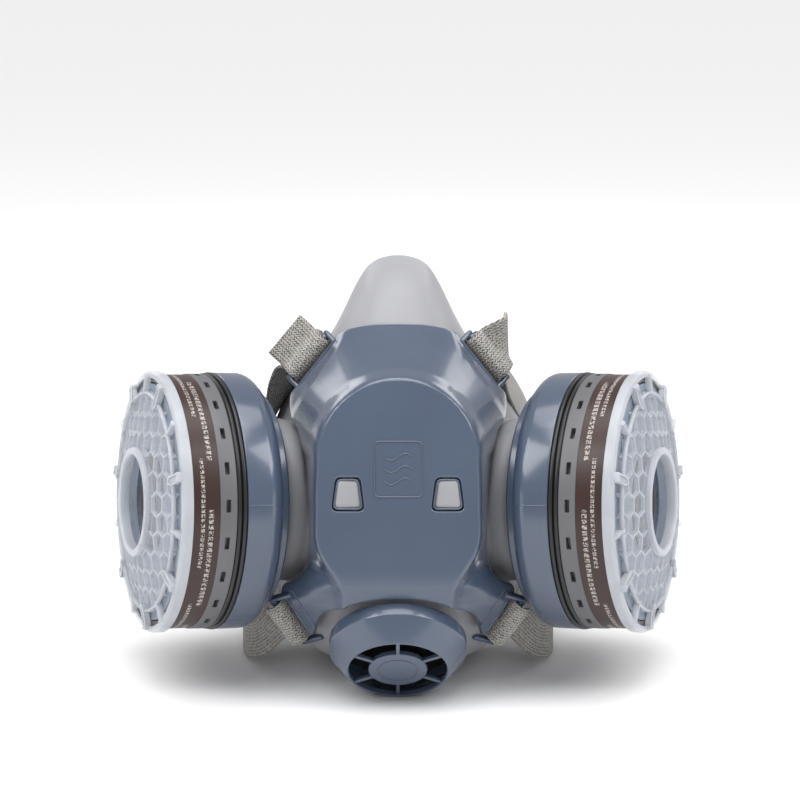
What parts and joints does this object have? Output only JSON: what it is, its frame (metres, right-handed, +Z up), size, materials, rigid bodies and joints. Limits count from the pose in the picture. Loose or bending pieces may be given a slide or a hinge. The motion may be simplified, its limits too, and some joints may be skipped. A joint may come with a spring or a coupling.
{
  "type": "half-face respirator mask",
  "caption": "Half-face respirator with a soft silicone facepiece, rigid front shell, screw-in side filter cartridges, exhalation valve and webbing head harness.",
  "frame": {"origin": "centre of the whole object's footprint at table level", "axes": "+X towards the wearer's right side of the picture plane, +Y to the back, towards the wearer, -Y to the front, +Z up"},
  "size_m": [0.2042, 0.2124, 0.1405],
  "materials": {
    "shell_plastic": "glossy injection-moulded, blue-grey",
    "silicone": "matte light grey silicone rubber",
    "black_plastic": "satin black moulded plastic",
    "valve_rubber": "thin black valve rubber",
    "seal_rubber": "satin black sealing ring",
    "grip_plastic": "satin grey moulded plastic",
    "label_film": "brown printed film with a slight sheen, no text",
    "carbon": "dark activated-carbon bed",
    "filter_fleece": "thin pressed filter fleece",
    "frosted_plastic": "frosted translucent plastic",
    "webbing": "grey twill elastic webbing"
  },
  "bodies": {
    "mask": {"facepiece": "silicone", "front_shell": "shell_plastic", "exhale_seat": "black_plastic", "left_holder": "shell_plastic", "right_holder": "shell_plastic", "left_port_nut": "black_plastic", "right_port_nut": "black_plastic", "left_inhale_seat": "black_plastic", "right_inhale_seat": "black_plastic", "upper_left_strap_end": "webbing", "upper_right_strap_end": "webbing", "lower_left_strap_end": "webbing", "lower_right_strap_end": "webbing"},
    "valve_cover": {"valve_cover": "shell_plastic"},
    "exhale_flap": {"exhale_flap": "valve_rubber"},
    "head_strap": {"head_strap": "webbing"},
    "neck_strap": {"neck_strap_left": "webbing", "neck_strap_right": "webbing", "clasp_hook": "black_plastic", "clasp_loop": "black_plastic"},
    "left_gasket": {"left_gasket": "seal_rubber"},
    "left_cartridge": {"left_canister": "grip_plastic", "left_label": "label_film", "left_sorbent": "carbon", "left_honeycomb": "shell_plastic", "left_core": "carbon", "left_prefilter": "filter_fleece"},
    "left_cap": {"left_cap": "frosted_plastic"},
    "left_inhale_flap": {"left_inhale_flap": "silicone"},
    "right_gasket": {"right_gasket": "seal_rubber"},
    "right_cartridge": {"right_canister": "grip_plastic", "right_label": "label_film", "right_sorbent": "carbon", "right_honeycomb": "shell_plastic", "right_core": "carbon", "right_prefilter": "filter_fleece"},
    "right_cap": {"right_cap": "frosted_plastic"},
    "right_inhale_flap": {"right_inhale_flap": "silicone"}
  },
  "joints": [
    {"name": "valve_cover_pull", "type": "slide", "parent": "mask", "child": "valve_cover", "axis": [0, -0.7593, -0.6508], "range_m": [0, 0.015]},
    {"name": "exhale_flap_lift", "type": "slide", "parent": "mask", "child": "exhale_flap", "axis": [0, -0.7593, -0.6508], "range_m": [0, 0.0015], "stiffness_N_per_m": 40, "springref_m": -0.0008},
    {"name": "head_strap_swing", "type": "hinge", "parent": "mask", "child": "head_strap", "pos_m": [0, -0.04609, 0.10987], "axis": [1, 0, 0], "range_deg": [0, 30]},
    {"name": "neck_strap_swing", "type": "hinge", "parent": "mask", "child": "neck_strap", "pos_m": [0, -0.07052, 0.02285], "axis": [1, 0, 0], "range_deg": [0, 8]},
    {"name": "left_cartridge_advance", "type": "slide", "parent": "mask", "child": "left_gasket", "axis": [-0.9336, -0.3505, 0.0745], "range_m": [0, 0.009]},
    {"name": "left_cartridge_turn", "type": "hinge", "parent": "left_gasket", "child": "left_cartridge", "pos_m": [-0.0518, -0.05229, 0.06048], "axis": [-0.9336, -0.3505, 0.0745], "range_deg": [0, 540]},
    {"name": "left_cap_pull", "type": "slide", "parent": "left_cartridge", "child": "left_cap", "axis": [-0.9336, -0.3505, 0.0745], "range_m": [0, 0.02]},
    {"name": "left_inhale_flap_lift", "type": "slide", "parent": "mask", "child": "left_inhale_flap", "axis": [0.9336, 0.3505, -0.0745], "range_m": [0, 0.0015], "stiffness_N_per_m": 40, "springref_m": -0.0008},
    {"name": "right_cartridge_advance", "type": "slide", "parent": "mask", "child": "right_gasket", "axis": [0.9336, -0.3505, 0.0745], "range_m": [0, 0.009]},
    {"name": "right_cartridge_turn", "type": "hinge", "parent": "right_gasket", "child": "right_cartridge", "pos_m": [0.0518, -0.05229, 0.06048], "axis": [0.9336, -0.3505, 0.0745], "range_deg": [0, 540]},
    {"name": "right_cap_pull", "type": "slide", "parent": "right_cartridge", "child": "right_cap", "axis": [0.9336, -0.3505, 0.0745], "range_m": [0, 0.02]},
    {"name": "right_inhale_flap_lift", "type": "slide", "parent": "mask", "child": "right_inhale_flap", "axis": [-0.9336, 0.3505, -0.0745], "range_m": [0, 0.0015], "stiffness_N_per_m": 40, "springref_m": -0.0008}
  ],
  "couplings": [
    {"joint": "left_cartridge_advance", "follows": "left_cartridge_turn", "m_per_rad": 0.00095493},
    {"joint": "right_cartridge_advance", "follows": "right_cartridge_turn", "m_per_rad": 0.00095493}
  ]
}
